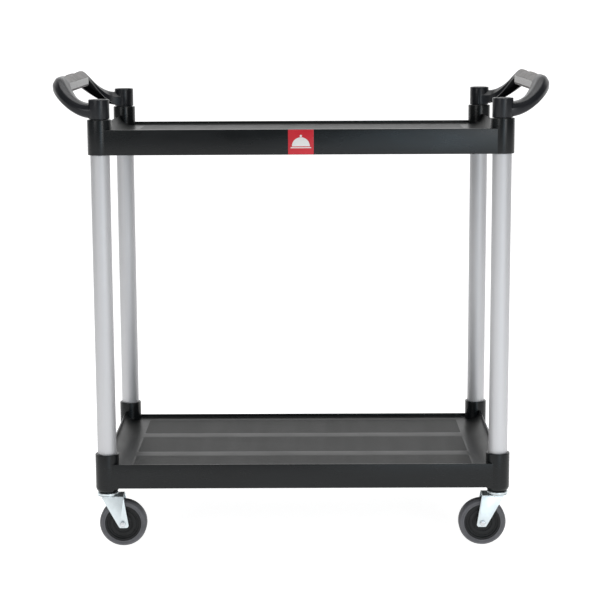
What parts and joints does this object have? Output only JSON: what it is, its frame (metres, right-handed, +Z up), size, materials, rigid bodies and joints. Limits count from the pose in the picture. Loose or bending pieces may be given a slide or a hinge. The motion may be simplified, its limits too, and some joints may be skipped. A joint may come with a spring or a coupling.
{
  "type": "food service trolley",
  "caption": "Two-shelf service trolley with moulded tray shelves on aluminium posts, raised push handles at both ends and swivel casters.",
  "frame": {"origin": "on the floor, centred under the trolley", "axes": "+X along the length from one push handle to the other, +Y across the depth towards the low rear aprons (the labelled front is at -Y), +Z up"},
  "size_m": [1.04, 0.542, 0.991],
  "materials": {
    "shelf_plastic": "black moulded polypropylene, fine satin texture",
    "post_aluminium": "satin anodised tube",
    "handle_plastic": "dark grey moulded plastic, satin",
    "grip_soft": "grey textured soft-touch sleeve",
    "label_red": "glossy red plate with a plain white pictogram",
    "socket_plastic": "black moulded nylon",
    "zinc_steel": "bright zinc-plated pressed steel",
    "fastener_steel": "zinc-plated steel",
    "wheel_plastic": "black moulded wheel core",
    "tyre_rubber": "grey thermoplastic rubber tread"
  },
  "bodies": {
    "trolley": {"upper_shelf": "shelf_plastic", "lower_shelf": "shelf_plastic", "upper_shelf_screws": "fastener_steel", "lower_shelf_screws": "fastener_steel", "label_plate": "label_red", "handle_left": "handle_plastic", "handle_right": "handle_plastic", "grip_left": "grip_soft", "grip_right": "grip_soft", "post_front_left": "post_aluminium", "post_front_right": "post_aluminium", "post_rear_left": "post_aluminium", "post_rear_right": "post_aluminium", "stem_socket_front_left": "socket_plastic", "stem_socket_front_right": "socket_plastic", "stem_socket_rear_left": "socket_plastic", "stem_socket_rear_right": "socket_plastic", "caster_stem_front_left": "zinc_steel", "caster_stem_front_right": "zinc_steel", "caster_stem_rear_left": "zinc_steel", "caster_stem_rear_right": "zinc_steel", "caster_balls_front_left": "fastener_steel", "caster_balls_front_right": "fastener_steel", "caster_balls_rear_left": "fastener_steel", "caster_balls_rear_right": "fastener_steel"},
    "swivel_front_left": {"fork_front_left": "zinc_steel", "axle_bolt_front_left": "fastener_steel", "axle_nut_front_left": "fastener_steel", "axle_sleeve_front_left": "fastener_steel"},
    "wheel_front_left": {"wheel_core_front_left": "wheel_plastic", "tyre_front_left": "tyre_rubber"},
    "swivel_front_right": {"fork_front_right": "zinc_steel", "axle_bolt_front_right": "fastener_steel", "axle_nut_front_right": "fastener_steel", "axle_sleeve_front_right": "fastener_steel"},
    "wheel_front_right": {"wheel_core_front_right": "wheel_plastic", "tyre_front_right": "tyre_rubber"},
    "swivel_rear_left": {"fork_rear_left": "zinc_steel", "axle_bolt_rear_left": "fastener_steel", "axle_nut_rear_left": "fastener_steel", "axle_sleeve_rear_left": "fastener_steel"},
    "wheel_rear_left": {"wheel_core_rear_left": "wheel_plastic", "tyre_rear_left": "tyre_rubber"},
    "swivel_rear_right": {"fork_rear_right": "zinc_steel", "axle_bolt_rear_right": "fastener_steel", "axle_nut_rear_right": "fastener_steel", "axle_sleeve_rear_right": "fastener_steel"},
    "wheel_rear_right": {"wheel_core_rear_right": "wheel_plastic", "tyre_rear_right": "tyre_rubber"}
  },
  "joints": [
    {"name": "caster_swivel_front_left", "type": "hinge", "parent": "trolley", "child": "swivel_front_left", "pos_m": [-0.414, -0.246, 0.11], "axis": [0, 0, 1], "continuous": true},
    {"name": "wheel_spin_front_left", "type": "hinge", "parent": "swivel_front_left", "child": "wheel_front_left", "pos_m": [-0.382, -0.246, 0.05], "axis": [0, 1, 0], "continuous": true},
    {"name": "caster_swivel_front_right", "type": "hinge", "parent": "trolley", "child": "swivel_front_right", "pos_m": [0.414, -0.246, 0.11], "axis": [0, 0, 1], "continuous": true},
    {"name": "wheel_spin_front_right", "type": "hinge", "parent": "swivel_front_right", "child": "wheel_front_right", "pos_m": [0.382, -0.246, 0.05], "axis": [0, 1, 0], "continuous": true},
    {"name": "caster_swivel_rear_left", "type": "hinge", "parent": "trolley", "child": "swivel_rear_left", "pos_m": [-0.414, 0.246, 0.11], "axis": [0, 0, 1], "continuous": true},
    {"name": "wheel_spin_rear_left", "type": "hinge", "parent": "swivel_rear_left", "child": "wheel_rear_left", "pos_m": [-0.382, 0.246, 0.05], "axis": [0, 1, 0], "continuous": true},
    {"name": "caster_swivel_rear_right", "type": "hinge", "parent": "trolley", "child": "swivel_rear_right", "pos_m": [0.414, 0.246, 0.11], "axis": [0, 0, 1], "continuous": true},
    {"name": "wheel_spin_rear_right", "type": "hinge", "parent": "swivel_rear_right", "child": "wheel_rear_right", "pos_m": [0.382, 0.246, 0.05], "axis": [0, 1, 0], "continuous": true}
  ]
}
